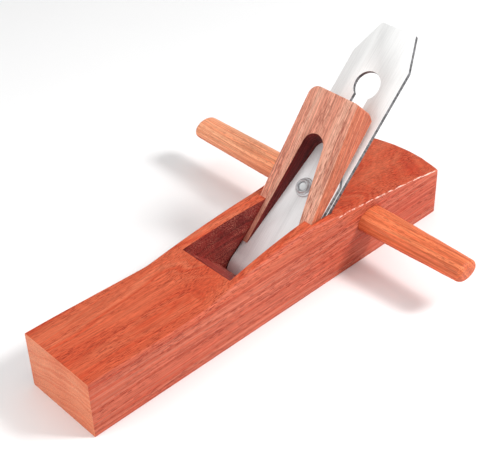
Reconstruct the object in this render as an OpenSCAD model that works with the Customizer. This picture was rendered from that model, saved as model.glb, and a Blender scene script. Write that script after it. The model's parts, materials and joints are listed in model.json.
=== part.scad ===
// Wooden hand plane with a cross handle.
// X runs from the toe to the heel, Y across the body, Z up from the sole.
// The origin is the middle of the mouth's front edge, on the sole.

/* [Body] */
// Length of the body from toe to heel, mm
body_length = 291.5; // [250:0.5:360]
// Height of the body at its crest, beside the iron, mm
body_height = 46.9; // [39:0.1:58]
// Height of the body at the toe, mm
toe_height = 39.2; // [34:0.1:46]
// Height of the body where it is lowest, ahead of the throat, mm
dip_height = 37.4; // [32:0.1:44]
// Height of the body at the heel, mm
heel_height = 33.8; // [30:0.1:42]
// Length of the slope that rises from that low part to the throat, mm
rise_length = 22.5; // [15:0.5:30]
// Thickness of each cheek beside the iron, mm
cheek_thickness = 5.9; // [5:0.1:8]
// Distance from the toe to the mouth's front edge, mm
mouth_from_toe = 138; // [110:0.5:170]
// How far the heel bows out at its middle, mm
heel_bow = 4.5; // [2:0.1:8]
// Height of the worn-over edge of each cheek at its deepest, mm
cheek_round_height = 12; // [6:0.1:16]
// Width of the worn-over edge of each cheek at its widest, mm
cheek_round_width = 6; // [3:0.1:8]
// Wear of the left cheek's edge, as a share of the right cheek's
left_wear = 0.35; // [0:0.05:1]
// Distance behind the crest at which the worn edge turns sharp, mm
worn_past_crest = 12; // [6:0.5:18]
// Size of the small chamfer along the sharp edges, mm
edge_ease = 0.8; // [0.4:0.1:1.2]

/* [Throat and bed] */
// Angle of the bed above the sole, degrees
bed_angle = 45; // [43:0.5:48]
// Gap between the mouth's front edge and the iron, mm
mouth_gap = 2.3; // [1.5:0.1:4]
// Height of the upright land at the mouth's front edge, mm
mouth_land = 2.6; // [1.5:0.1:3]
// Length of the throat ahead of the mouth, at the top, mm
throat_length = 30.5; // [24:0.5:38]
// Distance from the mouth to where the throat's front wall turns, mm
throat_turn_length = 0.4; // [0:0.1:3]
// Height at which the throat's front wall turns, mm
throat_turn_height = 10.8; // [8:0.1:14]
// Lean of the throat's side walls, degrees
throat_lean = 6; // [4:0.5:8]
// Splay of the throat's side walls in plan, degrees
throat_splay = 3; // [1:0.5:4]
// Height above the sole at which those walls start to lean, mm
throat_crease = 8; // [6:0.5:12]

/* [Cutting iron] */
// Width of the cutting iron, mm
iron_width = 44; // [38:1:54]
// Length of the cutting iron, mm
iron_length = 186; // [170:1:220]
// Thickness of the cutting iron, mm
iron_thickness = 3; // [2.4:0.1:3.8]
// Angle of the ground bevel, degrees
bevel_angle = 28; // [24:1:32]
// Width of the iron across its top end, mm
iron_top_width = 26.8; // [22:0.1:34]
// Length of the clipped corners at the top end, mm
iron_clip_length = 22.4; // [14:0.1:26]
// Distance from the edge to the middle of the keyhole, mm
keyhole_from_edge = 146.6; // [138:0.5:152]
// Distance the slot goes on below the screw, mm
slot_below_screw = 14; // [10:0.5:20]

/* [Chip breaker] */
// Length of the chip breaker, mm
breaker_length = 101; // [94:0.5:112]
// Thickness of the chip breaker, mm
breaker_thickness = 3; // [2.2:0.1:3.6]
// Width of the chip breaker across its top end, mm
breaker_top_width = 26; // [20:0.5:34]
// Length of the clipped corners at its top end, mm
breaker_clip_length = 19; // [12:0.5:22]
// Distance from the iron's edge to the chip breaker's nose, mm
nose_setback = 1.5; // [1.2:0.1:3]
// Distance from the nose to the top of the hump, mm
hump_from_nose = 10; // [8:0.5:14]
// Length of the curved part behind the nose, mm
hump_length = 17.5; // [16:0.5:24]
// Rise of the hump above the flat, mm
hump_rise = 0.7; // [0.4:0.1:1.2]
// Distance from the iron's edge to the screw, mm
screw_from_edge = 73.3; // [66:0.1:80]

/* [Screw and nut] */
// Diameter of the screw's thread, mm
screw_diameter = 6; // [5:0.1:7]
// Diameter of the screw's head, mm
head_diameter = 16; // [14:0.5:19.5]
// Thickness of the screw's head, mm
head_thickness = 4.2; // [3:0.1:5]
// Width of the slot in the screw's head, mm
head_slot_width = 1.6; // [1.2:0.1:2.4]
// Wall of the nut's boss around the thread, mm
boss_wall = 1.7; // [1.4:0.1:2.4]
// Width of the nut's flange around its boss, mm
flange_width = 1.6; // [1:0.1:2.2]
// Thickness of the nut's flange, mm
flange_thickness = 1.1; // [0.8:0.1:1.5]
// Height of the nut above the chip breaker, mm
nut_height = 4; // [3:0.1:5]

/* [Wedge] */
// Distance up the bed from the sole to the wedge's tips, mm
wedge_tip = 26; // [25:0.5:30]
// Length of the wedge, mm
wedge_length = 105; // [98:0.5:120]
// Taper of the wedge, degrees
wedge_taper = 11.3; // [9:0.1:12]
// Thickness of the wedge at its tips, mm
wedge_tip_thickness = 0.9; // [0.7:0.1:1.2]
// Length over which the wedge keeps its full width, mm
wedge_shoulder = 26; // [20:0.5:32]
// How much each side of the wedge comes in towards its head, mm
wedge_narrowing = 3.6; // [2:0.1:5]
// Radius of the wedge's upper left corner, mm
wedge_left_corner = 7; // [4:0.5:10]
// Radius of the wedge's upper right corner, mm
wedge_right_corner = 1.5; // [1:0.5:10]
// Length along the wedge of the chamfer at the back of its head, mm
wedge_chamfer_length = 3; // [2:0.5:6]
// Depth of that chamfer, square to the bed, mm
wedge_chamfer_depth = 6; // [2:0.5:8]
// Width of the wedge's slot at its closed end, mm
wedge_slot_width = 16; // [15:0.5:18]
// Length of solid wood above the wedge's slot, mm
wedge_bridge = 26; // [20:0.5:34]
// Width of each leg at its tip, mm
wedge_leg_tip = 5; // [4:0.1:6]

/* [Cross handle] */
// Length of the handle, mm
handle_length = 231; // [190:1:260]
// Width of the handle's oval where it goes through the body, mm
handle_width = 22; // [18:0.5:26]
// Thickness of the handle's oval where it goes through the body, mm
handle_thickness = 16; // [12:0.1:19.5]
// Distance from the mouth's front edge to the handle's middle, mm
handle_from_mouth = 82; // [78:0.5:96]
// Wood left above the handle's hole, mm
handle_cover = 5.5; // [4:0.1:9]
// How far the handle keeps its full size out from each side, mm
handle_straight = 14; // [8:0.5:20]
// Width of the handle's shorter end, mm
short_end_width = 18.3; // [15:0.1:22]
// Width of the handle's longer end, mm
long_end_width = 20.2; // [15:0.1:22]
// Radius around the handle's ends, mm
handle_end_radius = 3; // [1.5:0.1:5]
// How far the handle sits off the middle of the body, mm
handle_offset = 11; // [0:0.5:14]

/* [Hidden] */
// Gap between flat faces that slide on each other
play = 0.05;
// Gap between a round shaft and its hole, on the radius
shaft_play = 0.05;
// Gap between the handle and its hole, all round
handle_play = 0.1;
// Gap between the iron and each cheek, and between the wedge and each cheek
iron_side_gap = 0.4;
wedge_side_gap = 0.35;
// How much narrower each side of the chip breaker is than the iron
breaker_inset = 0.4;
// Gap between the screw and the iron's slot, and the head and the keyhole
slot_gap = 2.6;
keyhole_gap = 1.2;
// Gap beside the screw's head in its channel, and behind the head
channel_side_gap = 2;
channel_gap = 1.2;
// Distance from the screw down to the channel's closed end
channel_below_screw = 21.3;
// Gap ahead of the chip breaker's hump
hump_gap = 1.5;
// Height of the hollow under the hump, and of the nose's blunt front
hollow_height = 0.8;
nose_thickness = 0.4;
// Height of the cutting edge along the bed at rest
edge_lift = 0.4;
// How far a cutter runs past the surface that it cuts
overcut = 4;
stations = 42;
arc_steps = 6;
oval_steps = 40;
hump_steps = 6;

half_groove = iron_width / 2 + iron_side_gap;
half_body = half_groove + cheek_thickness;
toe_x = -mouth_from_toe;
heel_x = body_length - mouth_from_toe;
rise_x = -throat_length - rise_length;
crest_x = body_height / tan(bed_angle);
square_x = crest_x + worn_past_crest;
heel_radius = (half_body * half_body + heel_bow * heel_bow) / (2 * heel_bow);
boss_diameter = screw_diameter + 2 * boss_wall;
slot_width = screw_diameter + 2 * slot_gap;

// The bed's own frame: x up the bed, y across, z square to it, and the
// iron's front face at z = 0
bed_floor = -iron_thickness - play;
breaker_face = breaker_thickness + play;
wedge_back = breaker_face + 2 * play;
wedge_slope = tan(wedge_taper);
wedge_top = wedge_tip + wedge_length;
wedge_foot_face = wedge_back + wedge_tip_thickness;
wedge_head_face = wedge_foot_face + wedge_slope * wedge_length;
groove_front = breaker_face + hump_rise + hump_gap;
abutment_foot = wedge_tip + (groove_front - wedge_foot_face) / wedge_slope;
groove_top = (body_height + 30) / sin(bed_angle);

wood_red = [0.72, 0.27, 0.17];
wood_pink = [0.82, 0.50, 0.38];
wood_orange = [0.85, 0.40, 0.22];
steel = [0.80, 0.80, 0.80];

function ease(t) = t <= 0 ? 0 : t >= 1 ? 1 : t * t * (3 - 2 * t);

// Height of the top of the body at x: two soft slopes up to the crest, then a
// curve that falls faster towards the heel
function top_z(x) =
    x < rise_x ? toe_height + (dip_height - toe_height) * ease((x - toe_x) / (rise_x - toe_x))
    : x < crest_x ? dip_height + (body_height - dip_height)
        * ease(pow((x - rise_x) / (crest_x - rise_x), 0.6))
    : let (t = (x - crest_x) / (heel_x - crest_x))
        body_height - (body_height - heel_height) * t * (0.686 + 0.314 * t);

// How far the upper edges are worn over at x, from 0 to 1
function wear(x) =
    x < 0 ? let (t = (x - toe_x) / -toe_x) t * ease(t)
    : ease(1.9 * (square_x - x) / square_x);

function station_x(i) = toe_x + (heel_x - toe_x) * i / stations;

// One side's upper edge at x, at one angle round it from the side to the top
function edge_point(x, side, angle) =
    let (worn = wear(x) * (side > 0 ? left_wear : 1),
         w = edge_ease + (cheek_round_width - edge_ease) * worn,
         h = edge_ease + (cheek_round_height - edge_ease) * worn)
    [x, side * (half_body - w + w * cos(angle)), top_z(x) - h + h * sin(angle)];

// Faces of a closed skin over rings of points, each ring clockwise as seen
// from the first end
function skin_faces(rings, ring) = concat(
    [for (i = [0:rings - 2], k = [0:ring - 1])
        let (a = i * ring + k, b = i * ring + (k + 1) % ring)
        each [[a, a + ring, b], [b, a + ring, b + ring]]],
    [[for (k = [0:ring - 1]) k], [for (k = [ring - 1:-1:0]) (rings - 1) * ring + k]]);

// The body's outside: its long edges are arcs that change along its length
module body_outside() {
    step = 90 / arc_steps;
    feet = [[-half_body, edge_ease], [-half_body + edge_ease, 0],
        [half_body - edge_ease, 0], [half_body, edge_ease]];
    rings = [for (i = [0:stations]) let (x = station_x(i))
        concat([for (a = [0:step:90]) edge_point(x, 1, a)],
            [for (a = [90:-step:0]) edge_point(x, -1, a)], [for (f = feet) [x, f[0], f[1]]])];
    polyhedron(points = [for (r = rings) each r],
        faces = skin_faces(len(rings), len(rings[0])), convexity = 4);
}

// Puts its children in the bed's frame
module on_bed(up = 0) {
    translate([mouth_gap, 0, 0]) rotate([0, -bed_angle, 0]) translate([up, 0, 0])
        children();
}

// A side outline drawn in x and z, made as wide as asked
module across(width) {
    rotate([90, 0, 0]) linear_extrude(height = width, center = true) children();
}

// The slot for iron and wedge, as wide as the iron
module iron_groove() {
    front = groove_front + play;
    intersection() {
        on_bed() across(2 * half_groove) polygon([
            [-2 * overcut, bed_floor], [groove_top, bed_floor],
            [groove_top, wedge_foot_face + play + wedge_slope * (groove_top - wedge_tip)],
            [abutment_foot, front], [-2 * overcut, front]]);
        translate([0, -half_body, -overcut])
            cube([body_length, 2 * half_body, 3 * body_height]);
    }
}

// The throat ahead of the iron, its side walls leaning in towards the top
// Its back runs inside the groove, up the iron's face
module throat() {
    above = (throat_length - throat_turn_length)
        / (top_z(-throat_length) - throat_turn_height);
    top = body_height + 3 * overcut;
    function half(x, z) = half_groove + tan(throat_lean) * (throat_crease - z)
        - tan(throat_splay) * x;
    intersection() {
        across(2 * half_groove) polygon([[0, mouth_land],
            [-throat_turn_length, throat_turn_height],
            [-throat_turn_length - above * (top - throat_turn_height), top],
            [mouth_gap + top / tan(bed_angle), top], [mouth_gap, mouth_land]]);
        polyhedron(points = [for (z = [-2 * overcut, 2 * body_height],
                x = [-2 * throat_length, 2 * crest_x])
                each [[x, -half(x, z), z], [x, half(x, z), z]]],
            faces = [[0, 2, 3, 1], [4, 5, 7, 6], [0, 1, 5, 4], [2, 6, 7, 3],
                [0, 4, 6, 2], [1, 3, 7, 5]]);
    }
}

// The channel in the bed that the screw's head runs in, open at the top
module head_channel() {
    width = head_diameter + 2 * channel_side_gap;
    depth = head_thickness + channel_gap;
    on_bed(edge_lift + screw_from_edge - channel_below_screw)
        translate([0, 0, bed_floor - depth]) {
            cylinder(d = width, h = depth + 1, $fn = 64);
            translate([0, -width / 2, 0]) cube([groove_top, width, depth + 1]);
        }
}

function oval(w, t) = [for (i = [0:oval_steps - 1])
    let (a = 360 * i / oval_steps) [w / 2 * cos(a), t / 2 * sin(a)]];

// Puts its children on the handle's axis
module at_handle() {
    translate([handle_from_mouth, 0,
        top_z(handle_from_mouth) - handle_cover - handle_thickness / 2]) children();
}

module stock() color(wood_red) difference() {
    body_outside();
    iron_groove();
    throat();
    head_channel();
    at_handle() across(3 * half_body)
        polygon(oval(handle_width + 2 * handle_play, handle_thickness + 2 * handle_play));
    difference() {
        translate([heel_x - 2 * heel_bow, -2 * half_body, -overcut])
            cube([4 * heel_bow, 4 * half_body, 2 * body_height]);
        translate([heel_x - heel_radius, 0, -2 * overcut])
            cylinder(r = heel_radius, h = 3 * body_height, $fn = 200);
    }
}

// The rod is straight through the body, then thinner towards rounded ends
module cross_handle() {
    straight = half_body + handle_straight;
    end_steps = 3;
    function ring(y, width, inset) =
        [for (p = oval(width - 2 * inset, width * handle_thickness / handle_width - 2 * inset))
            [p[0], y, -p[1]]];
    function end_ring(tip, inward, width, a) =
        ring(tip + inward * handle_end_radius * (1 - sin(a)), width,
            handle_end_radius * (1 - cos(a)));
    angles = [for (k = [0:end_steps]) 90 * k / end_steps];
    near = handle_offset - handle_length / 2;
    far = handle_offset + handle_length / 2;
    rings = concat([for (k = [end_steps:-1:0]) end_ring(near, 1, short_end_width, angles[k])],
        [ring(-straight, handle_width, 0), ring(straight, handle_width, 0)],
        [for (a = angles) end_ring(far, -1, long_end_width, a)]);
    color(wood_orange) at_handle() polyhedron(points = [for (r = rings) each r],
        faces = skin_faces(len(rings), len(rings[0])));
}

// A plate's plan: square at the foot, with clipped corners at the top
module clipped_plan(foot, top, half, top_half, clip) {
    polygon([[foot, -half], [top - clip, -half], [top, -top_half], [top, top_half],
        [top - clip, half], [foot, half]]);
}

// Iron with its ground bevel and its keyhole slot
module cutting_iron() color(steel) {
    bevel = iron_thickness / tan(bevel_angle);
    slot_foot = screw_from_edge - slot_below_screw + slot_width / 2;
    on_bed(edge_lift) intersection() {
        across(iron_width + 1) polygon([[0, 0], [iron_length, 0],
            [iron_length, -iron_thickness], [bevel, -iron_thickness]]);
        translate([0, 0, -iron_thickness - 1]) linear_extrude(height = iron_thickness + 2)
            difference() {
                clipped_plan(-1, iron_length, iron_width / 2, iron_top_width / 2,
                    iron_clip_length);
                translate([keyhole_from_edge, 0])
                    circle(d = head_diameter + 2 * keyhole_gap, $fn = 64);
                translate([slot_foot, 0]) circle(d = slot_width, $fn = 48);
                translate([slot_foot, -slot_width / 2])
                    square([keyhole_from_edge - slot_foot, slot_width]);
            }
    }
}

// Height of the chip breaker's front above its flat, at d behind the nose
function hump(d) =
    d < hump_from_nose
    ? hump_rise - (breaker_face - nose_thickness + hump_rise)
        * (1 - sin(90 * d / hump_from_nose))
    : hump_rise * (1 + cos(180 * (d - hump_from_nose) / (hump_length - hump_from_nose))) / 2;

// Chip breaker: a flat plate with a hump and a thin nose that meets the iron
module chip_breaker() color(steel) {
    half = iron_width / 2 - breaker_inset;
    top = nose_setback + breaker_length;
    hollow = [for (k = [0:hump_steps]) let (t = k / hump_steps)
        [nose_setback + t * hump_length, play + hollow_height * sin(180 * t)]];
    front = [for (k = [2 * hump_steps:-1:0]) let (d = hump_length * k / (2 * hump_steps))
        [nose_setback + d, breaker_face + hump(d)]];
    on_bed(edge_lift) intersection() {
        across(iron_width) polygon(concat(hollow, [[top, play], [top, breaker_face]], front));
        linear_extrude(height = 3 * breaker_face) difference() {
            clipped_plan(0, top, half, breaker_top_width / 2, breaker_clip_length);
            translate([screw_from_edge, 0]) circle(d = boss_diameter, $fn = 48);
        }
    }
}

// Round nut riveted into the chip breaker, with a recess round its thread
module cap_nut() color(steel) {
    bore = screw_diameter / 2 + shaft_play;
    neck = (boss_diameter - shaft_play) / 2;
    boss = boss_diameter / 2;
    flange = boss + flange_width;
    chamfer = 0.5;
    recess = 0.45;
    rim = 0.8;
    seat = breaker_face + play / 2;
    top = breaker_face + nut_height;
    on_bed(edge_lift + screw_from_edge) rotate_extrude($fn = 96) polygon([
        [bore, 2 * play], [neck, 2 * play], [neck, seat], [flange, seat],
        [flange, seat + flange_thickness - chamfer], [flange - chamfer, seat + flange_thickness],
        [boss, seat + flange_thickness], [boss, top - rim], [boss - rim, top],
        [bore + recess, top], [bore, top - recess]]);
}

// Screw from behind the iron, with a slotted head
module cap_screw() color(steel) {
    tail_below_nut = 1.3;
    slot_depth = 1.7;
    under = -iron_thickness - play;
    tail = breaker_face + nut_height - tail_below_nut;
    on_bed(edge_lift + screw_from_edge) difference() {
        union() {
            translate([0, 0, under - 1])
                cylinder(d = screw_diameter, h = tail - under + 1, $fn = 64);
            translate([0, 0, under - head_thickness])
                cylinder(d = head_diameter, h = head_thickness, $fn = 96);
        }
        translate([-head_diameter, -head_slot_width / 2, under - head_thickness - 1])
            cube([2 * head_diameter, head_slot_width, 1 + slot_depth]);
    }
}

// Forked wedge: its legs go down behind the abutments
module wedge() {
    foot_half = half_groove - wedge_side_gap;
    head_half = foot_half - wedge_narrowing;
    tip_half = foot_half - wedge_leg_tip;
    slot_half = wedge_slot_width / 2;
    slot_mid = wedge_top - wedge_bridge - slot_half;
    front_ease = 1.5;
    function corner(a, side, r) = [wedge_top - r * (1 - sin(a)),
        side * (head_half - r * (1 - cos(a)))];
    color(wood_pink) on_bed() intersection() {
        across(2 * half_groove) polygon([[wedge_tip, wedge_back],
            [wedge_top - wedge_chamfer_length, wedge_back],
            [wedge_top, wedge_back + wedge_chamfer_depth],
            [wedge_top, wedge_head_face - front_ease],
            [wedge_top - front_ease, wedge_head_face - wedge_slope * front_ease],
            [wedge_tip, wedge_foot_face]]);
        linear_extrude(height = 2 * wedge_head_face) difference() {
            polygon(concat([[wedge_tip, -foot_half], [wedge_tip + wedge_shoulder, -foot_half]],
                [for (a = [0:15:90]) corner(a, -1, wedge_right_corner)],
                [for (a = [90:-15:0]) corner(a, 1, wedge_left_corner)],
                [[wedge_tip + wedge_shoulder, foot_half], [wedge_tip, foot_half]]));
            translate([slot_mid, 0]) circle(r = slot_half, $fn = 64);
            polygon([[slot_mid, -slot_half], [slot_mid, slot_half], [wedge_tip, tip_half],
                [wedge_tip - 1, tip_half], [wedge_tip - 1, -tip_half], [wedge_tip, -tip_half]]);
        }
    }
}

stock();
cross_handle();
cutting_iron();
chip_breaker();
cap_nut();
cap_screw();
wedge();
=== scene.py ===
import json
from math import asin, cos, degrees, pi, radians, sin, sqrt, tan
import bmesh
import bpy
from mathutils import Matrix, Vector, noise


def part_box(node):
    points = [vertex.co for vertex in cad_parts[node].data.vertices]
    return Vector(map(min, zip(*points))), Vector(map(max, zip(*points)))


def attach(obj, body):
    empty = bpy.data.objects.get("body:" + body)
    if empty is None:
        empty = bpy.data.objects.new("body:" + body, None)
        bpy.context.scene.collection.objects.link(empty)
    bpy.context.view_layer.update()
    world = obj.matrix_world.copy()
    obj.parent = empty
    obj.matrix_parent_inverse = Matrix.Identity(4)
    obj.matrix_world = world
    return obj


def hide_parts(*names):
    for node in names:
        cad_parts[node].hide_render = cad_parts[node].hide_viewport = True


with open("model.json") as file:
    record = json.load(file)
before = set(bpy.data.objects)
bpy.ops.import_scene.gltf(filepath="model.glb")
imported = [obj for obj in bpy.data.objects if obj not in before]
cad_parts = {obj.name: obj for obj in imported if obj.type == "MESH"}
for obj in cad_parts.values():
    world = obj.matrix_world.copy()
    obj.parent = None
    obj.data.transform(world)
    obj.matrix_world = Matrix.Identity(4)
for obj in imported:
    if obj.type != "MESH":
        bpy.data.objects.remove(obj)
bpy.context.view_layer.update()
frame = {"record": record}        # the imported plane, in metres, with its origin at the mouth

mm = 0.001
weld = 0.01 * mm    # points nearer than this are joined
hair = 0.1 * mm    # how far off a plane still counts as on it


def everything(bm):
    return bm.verts[:] + bm.edges[:] + bm.faces[:]


def edgesOf(geom):
    return [g for g in geom if isinstance(g, bmesh.types.BMEdge)]


def cutAcross(bm, axis, places):    # cuts the mesh at each place along one axis, and keeps both sides
    normal = Vector([1 if i == axis else 0 for i in range(3)])
    for place in places:
        bmesh.ops.bisect_plane(bm, geom=everything(bm), plane_co=normal * place, plane_no=normal)


def trim(bm, point, outward):    # saws off what lies outside a plane and closes the cut
    cut = bmesh.ops.bisect_plane(bm, geom=everything(bm), plane_co=point, plane_no=outward,
                                 clear_outer=True)
    bmesh.ops.holes_fill(bm, edges=edgesOf(cut["geom_cut"]))


def roundOver(bm, edges, width, segments):
    return bmesh.ops.bevel(bm, geom=edges, offset=width, segments=segments, profile=0.5,
                           affect="EDGES", material=-1, clamp_overlap=True)["faces"]


def sharpEdges(bm, angle):
    return [e for e in bm.edges if len(e.link_faces) == 2 and e.calc_face_angle(0) > radians(angle)]


def steps(start, end, count):    # evenly spaced places, both ends included
    return [start + (end - start) * i / (count - 1) for i in range(count)]


def slab(outline, low, high):    # an outline in x and y, given its height along z
    bm = bmesh.new()
    face = bm.faces.new([bm.verts.new((x, y, low)) for x, y in outline])
    grown = bmesh.ops.extrude_face_region(bm, geom=[face])["geom"]
    raised = [g for g in grown if isinstance(g, bmesh.types.BMVert)]
    bmesh.ops.translate(bm, verts=raised, vec=(0, 0, high - low))
    bmesh.ops.recalc_face_normals(bm, faces=bm.faces)
    return bm


def profileSlab(outline, width):    # an outline in x and z, as wide as asked across y
    bm = slab(outline, -width / 2, width / 2)
    bmesh.ops.rotate(bm, verts=bm.verts, matrix=Matrix.Rotation(pi / 2, 3, "X"))
    return bm


def turned(profile, sides):    # radius and height pairs, spun round z
    bm = bmesh.new()
    verts = [bm.verts.new((r, 0, z)) for r, z in profile]
    edges = [bm.edges.new(pair) for pair in zip(verts, verts[1:])]
    bmesh.ops.spin(bm, geom=verts + edges, axis=(0, 0, 1), cent=(0, 0, 0), angle=2 * pi,
                   steps=sides, use_merge=True)
    bmesh.ops.remove_doubles(bm, verts=bm.verts, dist=weld)
    bmesh.ops.recalc_face_normals(bm, faces=bm.faces)
    return bm


def toPiece(name, bm, material, place=None):
    if place is not None:
        bmesh.ops.transform(bm, verts=bm.verts, matrix=place)
    mesh = bpy.data.meshes.new(name)
    bm.to_mesh(mesh)
    bm.free()
    piece = bpy.data.objects.new(name, mesh)
    bpy.context.scene.collection.objects.link(piece)
    mesh.materials.append(material)
    return piece


def seat(piece, place):    # puts a finished mesh where it belongs, with its object left alone
    piece.data.transform(place)
    piece.data.update()


def cutAway(blank, cutters):    # the cut faces take the cutter's material
    for cutter in cutters:
        cut = blank.modifiers.new("cut", "BOOLEAN")
        cut.operation, cut.solver, cut.object = "DIFFERENCE", "EXACT", cutter
        cut.material_mode = "TRANSFER"
    depsgraph = bpy.context.evaluated_depsgraph_get()
    mesh = bpy.data.meshes.new_from_object(blank.evaluated_get(depsgraph))
    blank.modifiers.clear()
    blank.data = mesh
    for cutter in cutters:
        bpy.data.objects.remove(cutter)
    return blank


def easeEdges(piece, width, angle=30):
    # rounds the sharp edges and marks them, so that a finish can show them worn
    bm = bmesh.new()
    bm.from_mesh(piece.data)
    bmesh.ops.remove_doubles(bm, verts=bm.verts, dist=weld)
    worn = bm.loops.layers.float.get("worn") or bm.loops.layers.float.new("worn")
    for face in roundOver(bm, sharpEdges(bm, angle), width, 2):
        for loop in face.loops:
            loop[worn] = 1.0
    bm.to_mesh(piece.data)
    bm.free()


def smoothShaded(piece, angle=35):
    piece.data.shade_smooth()
    bm = bmesh.new()
    bm.from_mesh(piece.data)
    for edge in bm.edges:
        edge.smooth = edge.calc_face_angle(0) < radians(angle)
    bm.to_mesh(piece.data)
    bm.free()


def ease(t):
    t = min(max(t, 0), 1)
    return t * t * (3 - 2 * t)


def arc(centre, radius, start, end, count):    # angles in degrees, from x towards y
    return [(centre[0] + radius * cos(a), centre[1] + radius * sin(a))
            for a in steps(radians(start), radians(end), count)]


def markParts(piece, rules):    # writes how much of each tint every corner of the mesh takes
    for name, rule in rules.items():
        layer = piece.data.attributes.new(name, "FLOAT", "CORNER")
        for face in piece.data.polygons:
            for corner in face.loop_indices:
                point = piece.data.vertices[piece.data.loops[corner].vertex_index].co
                layer.data[corner].value = rule(point, face.normal)


def declare(piece, node):
    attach(piece, next(body for body, nodes in frame["record"]["behaviour"]["bodies"].items()
                        if node in nodes))
    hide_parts(node)
    print(piece.name, "made, faces", len(piece.data.polygons))


def addNode(tree, kind, inputs=None, **settings):
    node = tree.nodes.new("ShaderNode" + kind)
    for name, value in settings.items():
        setattr(node, name, value)
    for name, value in (inputs or {}).items():
        if isinstance(value, bpy.types.NodeSocket):
            tree.links.new(value, node.inputs[name])
        else:
            node.inputs[name].default_value = value
    return node


def ramp(tree, value, stops):    # stops are places with colours or grey levels
    node = addNode(tree, "ValToRGB", {"Fac": value})
    marks = node.color_ramp.elements
    while len(marks) < len(stops):
        marks.new(1)
    for mark, (place, colour) in zip(marks, stops):
        mark.position = place
        mark.color = (*colour, 1) if isinstance(colour, tuple) else (colour, colour, colour, 1)
    return node.outputs["Color"]


def stretched(tree, vector, scale, detail, roughness=0.5, warp=0.0):
    # noise drawn out along an axis: each scale is in waves per metre
    mapped = addNode(tree, "Mapping", {"Vector": vector, "Scale": scale}).outputs["Vector"]
    return addNode(tree, "TexNoise", {"Vector": mapped, "Scale": 1.0, "Detail": detail,
                                      "Roughness": roughness, "Distortion": warp}).outputs["Fac"]


def mixed(tree, fac, a, b, mode="MIX"):
    node = addNode(tree, "Mix", data_type="RGBA", blend_type=mode)
    for socket, value in ((node.inputs[0], fac), (node.inputs[6], a), (node.inputs[7], b)):
        if isinstance(value, bpy.types.NodeSocket):
            tree.links.new(value, socket)
        else:
            socket.default_value = value if isinstance(value, float) else (*value, 1)
    return node.outputs[2]


def maths(tree, operation, *values):
    node = addNode(tree, "Math", operation=operation)
    for socket, value in zip(node.inputs, values):
        if isinstance(value, bpy.types.NodeSocket):
            tree.links.new(value, socket)
        else:
            socket.default_value = value
    return node.outputs[0]


def newGroup(name, inputs, outputs):
    group = bpy.data.node_groups.new(name, "ShaderNodeTree")
    for label, kind, value in inputs:
        socket = group.interface.new_socket(label, in_out="INPUT", socket_type="NodeSocket" + kind)
        if value is not None:
            socket.default_value = value
    for label, kind in outputs:
        group.interface.new_socket(label, in_out="OUTPUT", socket_type="NodeSocket" + kind)
    return group, group.nodes.new("NodeGroupInput").outputs, group.nodes.new("NodeGroupOutput").inputs


def woodGroup():
    # the grain runs along the vector's x: growth layers, fibre lines and short open pores
    group, given, out = newGroup(
        "woodFigure",
        [("Vector", "Vector", None), ("Light", "Color", (1, 1, 1, 1)),
         ("Middle", "Color", (0.5, 0.5, 0.5, 1)), ("Dark", "Color", (0, 0, 0, 1)),
         ("Pore", "Color", (0, 0, 0, 1)), ("Layers", "Float", 1.0), ("Fibre", "Float", 0.3),
         ("Pores", "Float", 0.6), ("Rings", "Float", 420.0)],
        [("Color", "Color"), ("Height", "Float"), ("Roughness", "Float")])
    vector = given["Vector"]
    broad = stretched(group, vector, (7, 40, 40), 3, 0.5, 0.3)
    across = addNode(group, "VectorMath", {0: vector, 1: (0, 1, 1)}, operation="MULTIPLY")
    radius = addNode(group, "VectorMath", {0: across.outputs["Vector"]}, operation="LENGTH")
    wander = maths(group, "MULTIPLY", stretched(group, vector, (5, 30, 30), 2), 0.012)
    ringPlace = maths(group, "MULTIPLY", maths(group, "ADD", radius.outputs["Value"], wander),
                      given["Rings"])
    bands = addNode(group, "TexNoise", {"W": ringPlace, "Scale": 1.0, "Detail": 4.0,
                                        "Roughness": 0.7}, noise_dimensions="1D").outputs["Fac"]
    fibres = stretched(group, vector, (26, 900, 1300), 5, 0.72)
    dashes = stretched(group, vector, (240, 2100, 2100), 1, 0.5)
    crowd = stretched(group, vector, (16, 90, 140), 3, 0.6)
    tone = maths(group, "ADD", maths(group, "MULTIPLY", broad, 0.35),
                 maths(group, "MULTIPLY", bands, 0.65))
    spread = maths(group, "MULTIPLY", maths(group, "SUBTRACT", tone, 0.5), given["Layers"])
    tone = maths(group, "ADD", spread, 0.5)
    darkPart = ramp(group, tone, [(0.36, 1.0), (0.52, 0.0)])
    lightPart = ramp(group, tone, [(0.48, 0.0), (0.66, 1.0)])
    colour = mixed(group, darkPart, given["Middle"], given["Dark"])
    colour = mixed(group, lightPart, colour, given["Light"])
    fibreTone = ramp(group, fibres, [(0.34, 0.5), (0.5, 1.0), (0.66, 1.6)])
    fibred = mixed(group, 1.0, colour, fibreTone, "MULTIPLY")
    colour = mixed(group, given["Fibre"], colour, fibred)
    pores = maths(group, "MULTIPLY", ramp(group, dashes, [(0.53, 0.0), (0.62, 1.0)]),
                  ramp(group, crowd, [(0.38, 0.2), (0.6, 1.0)]))
    shownPores = maths(group, "MULTIPLY", pores, given["Pores"])
    colour = mixed(group, shownPores, colour, given["Pore"])
    height = maths(group, "SUBTRACT", maths(group, "MULTIPLY", fibres, 0.6), shownPores)
    rough = maths(group, "ADD", maths(group, "MULTIPLY", fibres, 0.25),
                  maths(group, "MULTIPLY", shownPores, 0.25))
    group.links.new(colour, out["Color"])
    group.links.new(height, out["Height"])
    group.links.new(maths(group, "ADD", rough, 0.36), out["Roughness"])
    return group


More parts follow.
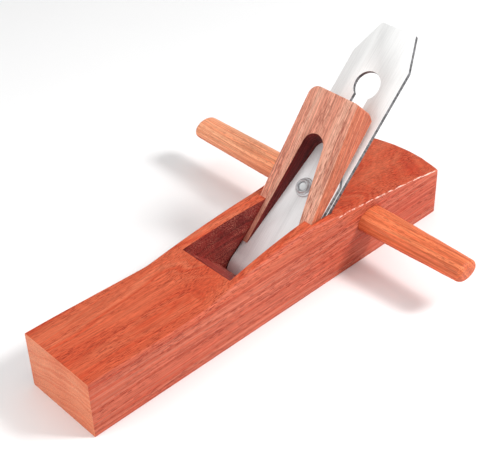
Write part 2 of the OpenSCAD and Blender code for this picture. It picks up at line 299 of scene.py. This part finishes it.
def wearGroup():
    # breaks up the marked edges into rubbed patches
    group, given, out = newGroup(
        "edgeWear", [("Vector", "Vector", None), ("Amount", "Float", 0.6), ("Scale", "Float", 400.0)],
        [("Mask", "Float")])
    mark = addNode(group, "Attribute", attribute_name="worn").outputs["Fac"]
    patches = addNode(group, "TexNoise", {"Vector": given["Vector"], "Scale": given["Scale"],
                                          "Detail": 4.0, "Roughness": 0.65}).outputs["Fac"]
    broken = ramp(group, patches, [(0.42, 0.15), (0.6, 1.0)])
    mask = maths(group, "MULTIPLY", maths(group, "MULTIPLY", mark, broken), given["Amount"])
    group.links.new(mask, out["Mask"])
    return group


def brushGroup():
    # fine scratches along the vector's x, with a few broad soft streaks
    group, given, out = newGroup(
        "brushLines", [("Vector", "Vector", None), ("Strength", "Float", 1.0)],
        [("Shade", "Color"), ("Height", "Float"), ("Roughness", "Float")])
    fine = stretched(group, given["Vector"], (60, 5200, 5200), 3, 0.6)
    broad = stretched(group, given["Vector"], (6, 160, 160), 3, 0.5)
    both = maths(group, "ADD", maths(group, "MULTIPLY", fine, 0.6), maths(group, "MULTIPLY", broad, 0.4))
    rough = maths(group, "ADD", maths(group, "MULTIPLY", both, 0.3), 0.3)
    group.links.new(ramp(group, both, [(0.3, 0.8), (0.55, 1.0)]), out["Shade"])
    group.links.new(maths(group, "MULTIPLY", fine, given["Strength"]), out["Height"])
    group.links.new(rough, out["Roughness"])
    return group


bed = dict(angle=45, mouthGap=2.3 * mm, lift=0.4 * mm, floor=-3.05 * mm, breakerFace=3.05 * mm,
           wedgeBack=3.15 * mm, wedgeTip=26 * mm, taper=11.3, play=0.05 * mm, screw=73.3 * mm)
bedPlace = (Matrix.Translation((bed["mouthGap"], 0, 0))
            @ Matrix.Rotation(radians(-bed["angle"]), 4, "Y"))
ironPlace = bedPlace @ Matrix.Translation((bed["lift"], 0, 0))
nutPlace = ironPlace @ Matrix.Translation((bed["screw"], 0, 0))

woodFigure = woodGroup()
edgeWear = wearGroup()
brushLines = brushGroup()
alongX, alongY = (0, 0, 0), (0, 0, -pi / 2)
alongBed = (0, radians(bed["angle"]), 0)    # turns the bed's slope down to x
alongWedge = (0, radians(bed["angle"] + bed["taper"]), 0)    # and the wedge's front face


def startFinish(name, turn, shift=(0, 0, 0)):
    material = bpy.data.materials.new(name)
    material.use_nodes = True
    tree = material.node_tree
    shader = tree.nodes["Principled BSDF"]
    place = addNode(tree, "TexCoord").outputs["Object"]
    mapping = addNode(tree, "Mapping", {"Vector": place, "Rotation": turn, "Location": shift})
    return material, tree, shader, mapping.outputs["Vector"]


def useGroup(tree, group, values):
    node = addNode(tree, "Group")
    node.node_tree = group
    for name, value in values.items():
        if isinstance(value, bpy.types.NodeSocket):
            tree.links.new(value, node.inputs[name])
        else:
            node.inputs[name].default_value = (*value, 1) if isinstance(value, tuple) else value
    return node.outputs


def woodFinish(name, look, turn=alongX):
    material, tree, shader, vector = startFinish(name, turn, look["pith"])
    figure = useGroup(tree, woodFigure, {
        "Vector": vector, "Light": look["light"], "Middle": look["middle"], "Dark": look["dark"],
        "Pore": look["pore"], "Layers": look["layers"], "Fibre": look["fibre"],
        "Pores": look["pores"], "Rings": look["rings"]})
    colour = figure["Color"]
    for part, (tint, calm) in look.get("tintsAndPaintedLight", {}).items():    # parts tinted by a mask: some are the wood's own tone, some are painted light and shade
        share = addNode(tree, "Attribute", attribute_name=part).outputs["Fac"]
        calmed = mixed(tree, calm, colour, look["middle"])
        colour = mixed(tree, share, colour, mixed(tree, 1.0, calmed, tint, "MULTIPLY"))
    rub = useGroup(tree, edgeWear, {"Vector": vector, "Amount": look["rub"]})["Mask"]
    colour = mixed(tree, rub, colour, look["rubbed"])
    # painted highlight: a pale band along the near arris, partly chipped raw wood and partly the arris
    # highlight painted in
    if "chipsAndHighlight" in look:
        chipAndHighlightMask = addNode(tree, "Attribute", attribute_name="chipAndHighlightPart").outputs["Fac"]
        broken = ramp(tree, stretched(tree, vector, (160, 500, 500), 3, 0.7), [(0.46, 0.0), (0.56, 1.0)])
        colour = mixed(tree, maths(tree, "MULTIPLY", chipAndHighlightMask, broken), colour, look["chipsAndHighlight"])
    bump = addNode(tree, "Bump", {"Height": figure["Height"], "Strength": look["relief"],
                                  "Distance": 0.2 * mm})
    tree.links.new(colour, shader.inputs["Base Color"])
    tree.links.new(figure["Roughness"], shader.inputs["Roughness"])
    tree.links.new(bump.outputs["Normal"], shader.inputs["Normal"])
    shader.inputs["Specular IOR Level"].default_value = look["gloss"]
    return material


def steelFinish(name, look):
    material, tree, shader, vector = startFinish(name, alongBed)
    lines = useGroup(tree, brushLines, {"Vector": vector, "Strength": look["relief"]})
    rub = useGroup(tree, edgeWear, {"Vector": vector, "Amount": look["rub"], "Scale": 900.0})["Mask"]
    shade = mixed(tree, 1.0, look["colour"], lines["Shade"], "MULTIPLY")
    if "edge" in look:    # painted shade: the cut sides are painted dark as shade, with marks across them
        ribs = ramp(tree, stretched(tree, vector, (900, 60, 60), 2), [(0.4, 0.6), (0.6, 1.8)])
        side = mixed(tree, 1.0, look["edge"], ribs, "MULTIPLY")
        shadedCutPart = addNode(tree, "Attribute", attribute_name="shadedCutPart").outputs["Fac"]
        shade = mixed(tree, shadedCutPart, shade, side)
    bump = addNode(tree, "Bump", {"Height": lines["Height"], "Strength": 0.35,
                                  "Distance": 0.03 * mm})
    tree.links.new(mixed(tree, rub, shade, look["rubbed"]), shader.inputs["Base Color"])
    tree.links.new(lines["Roughness"], shader.inputs["Roughness"])
    tree.links.new(bump.outputs["Normal"], shader.inputs["Normal"])
    shader.inputs["Metallic"].default_value = look["metal"]
    return material


outsideLook = dict(light=(0.63, 0.158, 0.076), middle=(0.58, 0.095, 0.038),
                   dark=(0.49, 0.050, 0.018), pore=(0.22, 0.016, 0.008), layers=0.9, fibre=0.45,
                   pores=0.7, rings=420, pith=(0, 0.020, 0.090), rub=0.8,
                   # painted highlight: the chip colour is a pale band on the near arris, partly chipped
                   # raw wood and partly a painted highlight
                   rubbed=(0.86, 0.34, 0.22), relief=0.35, gloss=0.2, chipsAndHighlight=(0.95, 0.62, 0.52),
                   # painted light: the end tint paints the toe-facing faces paler, partly the end
                   # grain's own tone and partly light from the toe painted in
                   tintsAndPaintedLight=dict(sidePart=((1.00, 1.25, 1.60), 0.0), endGrainAndLitPart=((1.22, 2.20, 2.65), 0.4)))
# painted shade: the throat and the other cut recesses take a dark base, partly the wood's own darker
# colour and partly shade painted in; the light pores are end-grain specks
throatDarkAndShadeLook = dict(light=(0.33, 0.036, 0.028), middle=(0.21, 0.018, 0.016),
                  dark=(0.11, 0.008, 0.007), pore=(0.62, 0.20, 0.14), layers=1.2, fibre=0.9,
                  pores=1.0, rings=420, pith=(0, 0.020, 0.090), rub=0.8,
                  rubbed=(0.66, 0.18, 0.10), relief=0.8, gloss=0.15)
wedgeLook = dict(light=(0.87, 0.50, 0.37), middle=(0.80, 0.375, 0.26), dark=(0.68, 0.245, 0.165),
                 pore=(0.38, 0.085, 0.055), layers=0.8, fibre=0.75, pores=0.7, rings=380,
                 pith=(0, 0.030, -0.120), rub=0.7, rubbed=(0.84, 0.52, 0.38), relief=1.0, gloss=0.15,
                 tintsAndPaintedLight=dict(sidePart=((0.74, 0.47, 0.37), 0.15)))
# painted shade: the inner walls of the wedge slot take the dark throat colouring with darker pores,
# standing for the shade there
slotShadeLook = dict(throatDarkAndShadeLook, pore=(0.10, 0.010, 0.008), pith=wedgeLook["pith"])
handleLook = dict(light=(0.84, 0.27, 0.115), middle=(0.76, 0.19, 0.072), dark=(0.60, 0.110, 0.038),
                  pore=(0.34, 0.052, 0.020), layers=0.9, fibre=0.6, pores=0.5, rings=450,
                  pith=(0, 0.015, 0.030), rub=0.6, rubbed=(0.90, 0.46, 0.28), relief=0.5, gloss=0.3,
                  # painted light and shade: the pale tint paints the rod paler towards its longer end as
                  # if lit more strongly, and the under tint paints its underside darker as shade
                  tintsAndPaintedLight=dict(farLightPart=((1.12, 1.75, 2.4), 0.15), underShadePart=((0.92, 0.64, 0.52), 0.0)))
# painted shade: the edge colour is for the cut sides of the plates, painted dark as they stand in shade
plateLook = dict(colour=(0.97, 0.97, 0.96), relief=0.5, rub=0.4, rubbed=(0.99, 0.99, 0.99), metal=0.25,
                 edge=(0.10, 0.10, 0.105))
nutLook = dict(colour=(0.78, 0.79, 0.80), relief=0.4, rub=0.5, rubbed=(0.95, 0.95, 0.95), metal=0.8)

outsideWood = woodFinish("outsideWood", outsideLook)
# partly painted shade: the darker finish of the cut recesses
throatDarkAndShadeWood = woodFinish("throatDarkAndShadeWood", throatDarkAndShadeLook, alongY)
wedgeWood = woodFinish("wedgeWood", wedgeLook, alongWedge)
wedgeSlotShadeWood = woodFinish("wedgeSlotShadeWood", slotShadeLook, alongWedge)
handleWood = woodFinish("handleWood", handleLook, alongY)
plateSteel = steelFinish("plateSteel", plateLook)
# painted light: the chip breaker gets a brighter, less metallic copy of the plate steel, so that it
# shows as brightly lit
breakerLitSteel = steelFinish("breakerLitSteel", dict(plateLook, colour=(0.99, 0.99, 0.99), metal=0.1))
nutSteel = steelFinish("nutSteel", nutLook)
print("finishes made")


stock = dict(toe=39.2 * mm, dip=37.4 * mm, heel=33.8 * mm, rise=-53 * mm, riseBend=0.6,
             heelSlope=0.686, bow=4.5 * mm, bowLength=30 * mm, roundHeight=12 * mm,
             roundWidth=6 * mm, sharp=0.8 * mm, edge=0.35 * mm, wornPast=12 * mm, wornFade=1.9,
             leftWear=0.35, chipsAndHighlightFrom=52 * mm, chipAndHighlightDepth=1 * mm, throatLength=30.5 * mm,
             turnLength=0.4 * mm, turnHeight=10.8 * mm, land=2.6 * mm, lean=6, splay=3,
             crease=8 * mm, throatTop=59 * mm, throatInset=0.01 * mm, grooveHalf=22.4 * mm,
             grooveFront=5.3 * mm, grooveFoot=-8 * mm, wedgeFace=4.05 * mm, channelHalf=10 * mm,
             channelDepth=5.4 * mm, channelFoot=52.4 * mm, channelOver=1 * mm,
             cutterTop=110 * mm, ovalHole=0.1 * mm, holeLength=80 * mm, holeSides=72,
             cutsAlong=110, cutsAcross=5, acrossHalf=20 * mm, cutsUp=4, lowestCut=8 * mm,
             highestCut=32 * mm)
stockLow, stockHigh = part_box("stock")
crest = stockHigh.z / tan(radians(bed["angle"]))


def topHeight(x):
    if x < stock["rise"]:
        t = (x - stockLow.x) / (stock["rise"] - stockLow.x)
        return stock["toe"] + (stock["dip"] - stock["toe"]) * ease(t)
    if x < crest:
        t = (x - stock["rise"]) / (crest - stock["rise"])
        return stock["dip"] + (stockHigh.z - stock["dip"]) * ease(t ** stock["riseBend"])
    t, slope = (x - crest) / (stockHigh.x - crest), stock["heelSlope"]
    return stockHigh.z - (stockHigh.z - stock["heel"]) * t * (slope + (1 - slope) * t)


def wornAt(x):    # how far the upper edges are rubbed over, from 0 to 1
    if x < 0:
        t = (x - stockLow.x) / -stockLow.x
        return t * ease(t)
    square = crest + stock["wornPast"]
    return ease(stock["wornFade"] * (square - x) / square)


def shapeStock(bm):    # bends the block's top, rubs its upper edges and bows its heel
    half, start = stockHigh.y, stock["roundWidth"]
    sideTop = stockHigh.z - start
    radius = (half * half + stock["bow"] ** 2) / (2 * stock["bow"])
    for v in bm.verts:
        x, y, z = v.co
        top, worn = topHeight(x), wornAt(x) * (stock["leftWear"] if y > 0 else 1)
        width = stock["sharp"] + (stock["roundWidth"] - stock["sharp"]) * worn
        height = stock["sharp"] + (stock["roundHeight"] - stock["sharp"]) * worn
        side = 1 if y > 0 else -1
        if z > sideTop - weld:
            v.co.z = top - height + height * (z - sideTop) / start
            if abs(y) > half - start:
                v.co.y = side * (half - width + width * (abs(y) - half + start) / start)
            else:
                v.co.y = y * (half - width) / (half - start)
        else:
            v.co.z = z * (top - height) / sideTop
        nearHeel = ease(1 - (stockHigh.x - x) / stock["bowLength"])
        v.co.x = x - nearHeel * (radius - sqrt(radius * radius - v.co.y ** 2))


def lengthwise(bm, least):    # the edges that run along x for more than this
    return [e for e in bm.edges if abs(e.verts[0].co.x - e.verts[1].co.x) > least]


def stockBlank():
    bm = bmesh.new()
    size, middle = stockHigh - stockLow, (stockHigh + stockLow) / 2
    bmesh.ops.create_cube(bm, size=1, matrix=Matrix.Translation(middle) @ Matrix.Diagonal((*size, 1)))
    upper = [e for e in lengthwise(bm, size.x / 2) if e.verts[0].co.z > middle.z]
    roundOver(bm, upper, stock["roundWidth"], 10)
    lower = [e for e in lengthwise(bm, size.x / 2) if e.verts[0].co.z < hair]
    roundOver(bm, lower, stock["sharp"], 2)
    cutAcross(bm, 0, steps(stockLow.x, stockHigh.x, stock["cutsAlong"])[1:-1])
    cutAcross(bm, 1, steps(-stock["acrossHalf"], stock["acrossHalf"], stock["cutsAcross"]))
    cutAcross(bm, 2, steps(stock["lowestCut"], stock["highestCut"], stock["cutsUp"]))
    shapeStock(bm)
    return toPiece("planeStock", bm, outsideWood)


def grooveCutter():
    slope, top, low = tan(radians(bed["taper"])), stock["cutterTop"], stock["grooveFoot"]
    foot = bed["wedgeTip"] + (stock["grooveFront"] - bed["play"] - stock["wedgeFace"]) / slope
    bm = profileSlab([(low, bed["floor"]), (top, bed["floor"]),
                      (top, stock["wedgeFace"] + slope * (top - bed["wedgeTip"])),
                      (foot, stock["grooveFront"]), (low, stock["grooveFront"])],
                     2 * stock["grooveHalf"])
    bmesh.ops.transform(bm, verts=bm.verts, matrix=bedPlace)
    trim(bm, (0, 0, 0), (-1, 0, 0))
    return toPiece("grooveCutter", bm, throatDarkAndShadeWood)


def throatCutter():
    turn, height, top = stock["turnLength"], stock["turnHeight"], stock["throatTop"]
    above = (stock["throatLength"] - turn) / (topHeight(-stock["throatLength"]) - height)
    bm = profileSlab([(0, stock["land"]), (-turn, height), (-turn - above * (top - height), top),
                      (bed["mouthGap"] + top / tan(radians(bed["angle"])), top),
                      (bed["mouthGap"], stock["land"])],
                     2 * (stock["grooveHalf"] - stock["throatInset"]))
    for side in (-1, 1):
        outward = Vector((tan(radians(stock["splay"])), side, tan(radians(stock["lean"]))))
        trim(bm, (0, side * stock["grooveHalf"], stock["crease"]), outward)
    return toPiece("throatCutter", bm, throatDarkAndShadeWood)


def channelCutter():
    low, half, top = bed["floor"] - stock["channelDepth"], stock["channelHalf"], stock["cutterTop"]
    closed = arc((stock["channelFoot"], 0), half, 90, 270, 25)
    bm = slab([(top, -half), (top, half)] + closed, low, bed["floor"] + stock["channelOver"])
    return toPiece("channelCutter", bm, throatDarkAndShadeWood, bedPlace)


def ovalRod(length, width, height, sides):    # lies along y, with its middle at the origin
    bm = bmesh.new()
    bmesh.ops.create_cone(bm, cap_ends=True, segments=sides, radius1=1, radius2=1, depth=length)
    bmesh.ops.scale(bm, verts=bm.verts, vec=(width / 2, height / 2, 1))
    bmesh.ops.rotate(bm, verts=bm.verts, matrix=Matrix.Rotation(pi / 2, 3, "X"))
    return bm


def holeCutter():
    low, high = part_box("cross_handle")
    gap = 2 * stock["ovalHole"]
    bm = ovalRod(stock["holeLength"], high.x - low.x + gap, high.z - low.z + gap, stock["holeSides"])
    bmesh.ops.translate(bm, verts=bm.verts, vec=((low.x + high.x) / 2, 0, (low.z + high.z) / 2))
    return toPiece("holeCutter", bm, throatDarkAndShadeWood)


def chipsAndHighlight(point, normal):    # the right cheek's rounded upper edge, behind the mouth, painted pale: partly chipped raw wood, partly a painted highlight along the arris
    depth = stock["chipAndHighlightDepth"]
    return float(point.x > stock["chipsAndHighlightFrom"] and point.y < depth - stockHigh.y
                 and point.z > topHeight(point.x) - depth and -0.97 < normal.y < -0.1)


planeStock = stockBlank()
cutAway(planeStock, [grooveCutter(), throatCutter(), channelCutter(), holeCutter()])
easeEdges(planeStock, stock["edge"])
smoothShaded(planeStock)
# the end share marks the toe-facing faces, which the finish paints paler: partly end grain, partly
# painted light
markParts(planeStock, dict(sidePart=lambda point, normal: abs(normal.y),
                           endGrainAndLitPart=lambda point, normal: max(-normal.x, 0) ** 2,
                           chipAndHighlightPart=chipsAndHighlight))
declare(planeStock, "stock")

handle = dict(straight=42.3 * mm, nearWidth=18.3 * mm, farWidth=20.2 * mm, endRound=3 * mm,
              handCut=0.25 * mm, cutWaves=45, cutFade=10 * mm, farLightFrom=-30 * mm, farLightTo=100 * mm,
              underShadeFrom=0.35, sides=72, stations=90, stationInset=4 * mm)
handleLow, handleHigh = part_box("cross_handle")


def shapeHandle(bm):    # thins the rod towards its ends and leaves it a little uneven by hand
    full = handleHigh.x - handleLow.x
    for v in bm.verts:
        past = abs(v.co.y) - handle["straight"]
        if past <= 0:
            continue
        tip, width = ((handleHigh.y, handle["farWidth"]) if v.co.y > 0
                      else (-handleLow.y, handle["nearWidth"]))
        share = 1 - (1 - width / full) * past / (tip - handle["straight"])
        uneven = handle["handCut"] * abs(noise.noise(v.co * handle["cutWaves"]))
        size = share - uneven * min(past / handle["cutFade"], 1) / (full / 2)
        v.co.x, v.co.z = v.co.x * size, v.co.z * size


def handleBlank():
    length, middle = handleHigh.y - handleLow.y, (handleLow + handleHigh) / 2
    bm = ovalRod(length, handleHigh.x - handleLow.x, handleHigh.z - handleLow.z, handle["sides"])
    bmesh.ops.translate(bm, verts=bm.verts, vec=(0, middle.y, 0))
    rims = [e for e in bm.edges if abs(e.verts[0].co.y - e.verts[1].co.y) < hair]
    roundOver(bm, rims, handle["endRound"], 6)
    inset = handle["stationInset"]
    cutAcross(bm, 1, steps(handleLow.y + inset, handleHigh.y - inset, handle["stations"]))
    shapeHandle(bm)
    bmesh.ops.translate(bm, verts=bm.verts, vec=(middle.x, 0, middle.z))
    return toPiece("crossHandle", bm, handleWood)


def farLightShare(point, normal):    # painted light: grows towards the rod's longer end, which is painted paler as if lit more strongly
    return ease((point.y - handle["farLightFrom"]) / (handle["farLightTo"] - handle["farLightFrom"]))


crossHandle = handleBlank()
smoothShaded(crossHandle)
markParts(crossHandle, dict(farLightPart=farLightShare,
                            # painted shade: the under share paints the downward-facing side of the rod
                            # darker and redder
                            underShadePart=lambda point, normal: ease(handle["underShadeFrom"] - normal.z)))
declare(crossHandle, "cross_handle")

iron = dict(length=186 * mm, thick=3 * mm, half=22 * mm, topHalf=13.4 * mm, clip=22.4 * mm, bevel=28,
            keyhole=146.6 * mm, keyRadius=9.2 * mm, slotHalf=5.6 * mm, slotFoot=64.9 * mm,
            edge=0.25 * mm)


def keyholeCutter():
    corner = degrees(asin(iron["slotHalf"] / iron["keyRadius"]))
    outline = (arc((iron["keyhole"], 0), iron["keyRadius"], corner - 180, 180 - corner, 40)
               + arc((iron["slotFoot"], 0), iron["slotHalf"], 90, 270, 20))
    bm = slab(outline, -2 * iron["thick"], iron["thick"])
    return toPiece("keyholeCutter", bm, plateSteel)


def ironBlank():
    top, half, topHalf = iron["length"], iron["half"], iron["topHalf"]
    shoulder = top - iron["clip"]
    bm = slab([(0, -half), (shoulder, -half), (top, -topHalf), (top, topHalf), (shoulder, half),
               (0, half)], -iron["thick"], 0)
    ground = radians(iron["bevel"])
    trim(bm, (0, 0, 0), (-sin(ground), 0, -cos(ground)))
    return toPiece("cuttingIron", bm, plateSteel)


cuttingIron = cutAway(ironBlank(), [keyholeCutter()])
easeEdges(cuttingIron, iron["edge"], angle=50)
smoothShaded(cuttingIron)
markParts(cuttingIron, dict(shadedCutPart=lambda point, normal: float(abs(normal.z) < 0.5)))
seat(cuttingIron, ironPlace)
declare(cuttingIron, "cutting_iron")

breaker = dict(back=0.05 * mm, nose=1.5 * mm, length=101 * mm, half=21.6 * mm, topHalf=13 * mm,
               clip=19 * mm, noseThick=0.4 * mm, humpFrom=10 * mm, humpLength=17.5 * mm,
               humpRise=0.7 * mm, hollow=0.8 * mm, hole=4.7 * mm, holeSides=64,
               cutterTop=8 * mm, edge=0.25 * mm)


def humpHeight(along):    # how far the front stands off its flat part, from the nose up
    rise, peak = breaker["humpRise"], breaker["humpFrom"]
    if along < peak:
        drop = bed["breakerFace"] - breaker["noseThick"] + rise
        return rise - drop * (1 - sin(pi / 2 * along / peak))
    return rise * (1 + cos(pi * (along - peak) / (breaker["humpLength"] - peak))) / 2


def breakerBlank():
    nose, top = breaker["nose"], breaker["nose"] + breaker["length"]
    back, length = breaker["back"], breaker["humpLength"]
    hollow = [(nose + along, back + breaker["hollow"] * sin(pi * along / length))
              for along in steps(0, length, 13)]
    front = [(nose + along, bed["breakerFace"] + humpHeight(along)) for along in steps(length, 0, 25)]
    bm = profileSlab(hollow + [(top, back), (top, bed["breakerFace"])] + front, 2 * breaker["half"])
    for side in (-1, 1):
        trim(bm, (top - breaker["clip"], side * breaker["half"], 0),
             (breaker["half"] - breaker["topHalf"], side * breaker["clip"], 0))
    return toPiece("chipBreaker", bm, breakerLitSteel)


def breakerHoleCutter():
    radius, top = breaker["hole"], breaker["cutterTop"]
    bm = turned([(0, 0), (radius, 0), (radius, top), (0, top)], breaker["holeSides"])
    return toPiece("breakerHole", bm, breakerLitSteel, Matrix.Translation((bed["screw"], 0, 0)))


chipBreaker = cutAway(breakerBlank(), [breakerHoleCutter()])
easeEdges(chipBreaker, breaker["edge"], angle=50)
smoothShaded(chipBreaker)
markParts(chipBreaker, dict(
    shadedCutPart=lambda point, normal: float(abs(normal.y) > 0.5 or normal.x > 0.7)))
seat(chipBreaker, ironPlace)
declare(chipBreaker, "chip_breaker")

nut = dict(bore=3.05, neck=4.675, boss=4.7, flange=6.3, flangeThick=1.1, chamfer=0.5, rim=0.8,
           seat=3.075, foot=0.1, top=7.05, filletOut=0.25, filletUp=0.2, ringAt=3.65,
           ringHalf=0.1, ringDeep=0.12, lead=0.45, threads=6, threadTop=5.9, threadLand=0.4,
           threadDeep=0.22, sides=96)    # millimetres


def nutProfile():
    ledge, top, bore, boss = nut["seat"] + nut["flangeThick"], nut["top"], nut["bore"], nut["boss"]
    ring = [(nut["ringAt"] + out, top - down) for out, down in
            ((nut["ringHalf"], 0), (0, nut["ringDeep"]), (-nut["ringHalf"], 0))]
    thread = [(bore + deep, nut["threadTop"] - turn - down) for turn in range(nut["threads"])
              for down, deep in ((0, 0), (nut["threadLand"], nut["threadDeep"]))]
    return ([(nut["neck"], nut["foot"]), (nut["neck"], nut["seat"]), (nut["flange"], nut["seat"]),
             (nut["flange"], ledge - nut["chamfer"]), (nut["flange"] - nut["chamfer"], ledge),
             (boss + nut["filletOut"], ledge), (boss, ledge + nut["filletUp"]),
             (boss, top - nut["rim"]), (boss - nut["rim"], top)]
            + ring + [(bore + nut["lead"], top), (bore, top - nut["lead"])] + thread
            + [(bore, nut["foot"]), (nut["neck"], nut["foot"])])


def inMillimetres(profile):
    return [(r * mm, z * mm) for r, z in profile]


capNut = toPiece("capNut", turned(inMillimetres(nutProfile()), nut["sides"]), nutSteel, nutPlace)
smoothShaded(capNut, 25)
declare(capNut, "cap_nut")

screw = dict(radius=3.0, root=2.65, pitch=1.0, rings=7, firstRing=-1.6, head=8.0, headThick=4.2,
             rim=0.6, easing=0.4, under=-3.05, tail=5.75, tailTaper=0.5, tailIn=0.6,
             tailCrown=0.15, slotWidth=1.6, slotDepth=1.7, slotLength=40, sides=96)    # millimetres


def screwProfile():
    radius, head, under, tail = screw["radius"], screw["head"], screw["under"], screw["tail"]
    back = under - screw["headThick"]
    crests = [screw["firstRing"] + turn * screw["pitch"] for turn in range(screw["rings"])]
    shank = [pair for z in crests for pair in ((radius, z), (screw["root"], z + screw["pitch"] / 2))]
    return ([(0, back), (head - screw["rim"], back), (head, back + screw["rim"]),
             (head, under - screw["easing"]), (head - screw["easing"], under), (radius, under)]
            + shank + [(radius, tail - screw["tailTaper"]), (radius - screw["tailIn"], tail),
                       (0, tail - screw["tailCrown"])])


def slotCutter():
    bm = bmesh.new()
    bmesh.ops.create_cube(bm, size=1, matrix=Matrix.Diagonal(
        (screw["slotLength"] * mm, screw["slotWidth"] * mm, 2 * screw["slotDepth"] * mm, 1)))
    back = (screw["under"] - screw["headThick"]) * mm
    bmesh.ops.translate(bm, verts=bm.verts, vec=(0, 0, back))
    return toPiece("slotCutter", bm, nutSteel)


capScrew = toPiece("capScrew", turned(inMillimetres(screwProfile()), screw["sides"]), nutSteel)
cutAway(capScrew, [slotCutter()])
smoothShaded(capScrew, 25)
seat(capScrew, nutPlace)
declare(capScrew, "cap_screw")

fork = dict(length=105 * mm, tipThick=0.9 * mm, shoulder=26 * mm, footHalf=22.05 * mm,
            headHalf=18.45 * mm, farCorner=7 * mm, nearCorner=1.5 * mm, slotHalf=8 * mm,
            bridge=26 * mm, legTip=5 * mm, chamferLength=3 * mm, chamferDepth=6 * mm,
            blankTop=40 * mm, cutterTop=60 * mm, cutterFoot=1 * mm, edge=0.4 * mm,
            sawn=0.035 * mm, sawWaves=(60, 260), sawnFrom=28 * mm, sawnTo=129 * mm,
            sawnHalf=21 * mm, cutsAlong=70, cutsAcross=29)


def wedgeBlank():
    tip, top, head = bed["wedgeTip"], bed["wedgeTip"] + fork["length"], fork["headHalf"]
    near, far, foot = fork["nearCorner"], fork["farCorner"], fork["footHalf"]
    outline = ([(tip, -foot), (tip + fork["shoulder"], -foot)]
               + arc((top - near, -head + near), near, -90, 0, 5)
               + arc((top - far, head - far), far, 0, 90, 12)
               + [(tip + fork["shoulder"], foot), (tip, foot)])
    bm = slab(outline, bed["wedgeBack"], fork["blankTop"])
    slope = radians(bed["taper"])
    trim(bm, (tip, 0, bed["wedgeBack"] + fork["tipThick"]), (-sin(slope), 0, cos(slope)))
    trim(bm, (top - fork["chamferLength"], 0, bed["wedgeBack"]),
         (fork["chamferDepth"], 0, -fork["chamferLength"]))
    return toPiece("forkedWedge", bm, wedgeWood)


def wedgeSlotCutter():
    tip, half = bed["wedgeTip"], fork["slotHalf"]
    low, legs = tip - fork["cutterFoot"], fork["footHalf"] - fork["legTip"]
    middle = tip + fork["length"] - fork["bridge"] - half
    outline = ([(low, -legs), (tip, -legs)] + arc((middle, 0), half, -90, 90, 32)
               + [(tip, legs), (low, legs)])
    return toPiece("wedgeSlotCutter", slab(outline, 0, fork["cutterTop"]), wedgeSlotShadeWood)


def sawnFace(piece):    # cuts the face finely enough to leave it a little uneven from the saw
    bm = bmesh.new()
    bm.from_mesh(piece.data)
    cutAcross(bm, 0, steps(fork["sawnFrom"], fork["sawnTo"], fork["cutsAlong"]))
    cutAcross(bm, 1, steps(-fork["sawnHalf"], fork["sawnHalf"], fork["cutsAcross"]))
    along, across = fork["sawWaves"]
    for v in bm.verts:
        if all(f.normal.z > 0.9 for f in v.link_faces):
            v.co.z -= fork["sawn"] * abs(noise.noise(Vector((v.co.x * along, v.co.y * across, 0))))
    bm.to_mesh(piece.data)
    bm.free()


forkedWedge = cutAway(wedgeBlank(), [wedgeSlotCutter()])
easeEdges(forkedWedge, fork["edge"], angle=50)
sawnFace(forkedWedge)
smoothShaded(forkedWedge, 25)
markParts(forkedWedge, dict(sidePart=lambda point, normal: abs(normal.y)))
seat(forkedWedge, bedPlace)
declare(forkedWedge, "wedge")

studio = dict(place=(-0.3533, -0.3850, 0.4469), turn=(52.73, 1.165, -43.852), lens=79.97, sensor=36,
              nearest=0.01, floor=0.95, cloud=0.02, floorSize=4, sky=0.38, aim=(0.02, 0, 0.03),
              boxes=dict(overheadBox=((0.1, 0.0, 1.3), 1.0, 3.4),    # place, size and watts
                         keyBox=((0.62, -0.75, 0.95), 0.30, 13),
                         toeBox=((-1.0, 0.1, 0.6), 0.8, 6)))


def addFloor():
    bm = bmesh.new()
    bmesh.ops.create_grid(bm, x_segments=1, y_segments=1, size=studio["floorSize"])
    material, tree, shader, vector = startFinish("floorPaint", alongX)
    clouds, level = stretched(tree, vector, (3, 3, 3), 3), studio["floor"]
    paint = ramp(tree, clouds, [(0.3, level), (0.7, level + studio["cloud"])])
    tree.links.new(paint, shader.inputs["Base Color"])
    shader.inputs["Roughness"].default_value = 0.8
    floor = toPiece("studioFloor", bm, material, Matrix.Translation((0, 0, stockLow.z)))


def addSoftbox(name, place, size, power):
    light = bpy.data.lights.new(name, "AREA")
    light.shape, light.size, light.energy = "SQUARE", size, power
    lamp = bpy.data.objects.new(name, light)
    lamp.location = place
    lamp.rotation_euler = (Vector(studio["aim"]) - Vector(place)).to_track_quat("-Z", "Y").to_euler()
    bpy.context.scene.collection.objects.link(lamp)


def addCamera():
    data = bpy.data.cameras.new("studioCamera")
    data.lens, data.sensor_width = studio["lens"], studio["sensor"]
    data.clip_start = studio["nearest"]
    camera = bpy.data.objects.new("studioCamera", data)
    camera.location = studio["place"]
    camera.rotation_euler = [radians(a) for a in studio["turn"]]
    bpy.context.scene.collection.objects.link(camera)
    bpy.context.scene.camera = camera


def addSky():
    world = bpy.data.worlds.new("studioWorld")
    bpy.context.scene.world = world
    world.use_nodes = True
    background = world.node_tree.nodes["Background"]
    background.inputs["Color"].default_value = (1, 1, 1, 1)
    background.inputs["Strength"].default_value = studio["sky"]


addFloor()
for name, (place, size, power) in studio["boxes"].items():
    addSoftbox(name, place, size, power)
addCamera()
addSky()
bpy.context.scene.view_settings.view_transform = "Standard"
print("studio set")
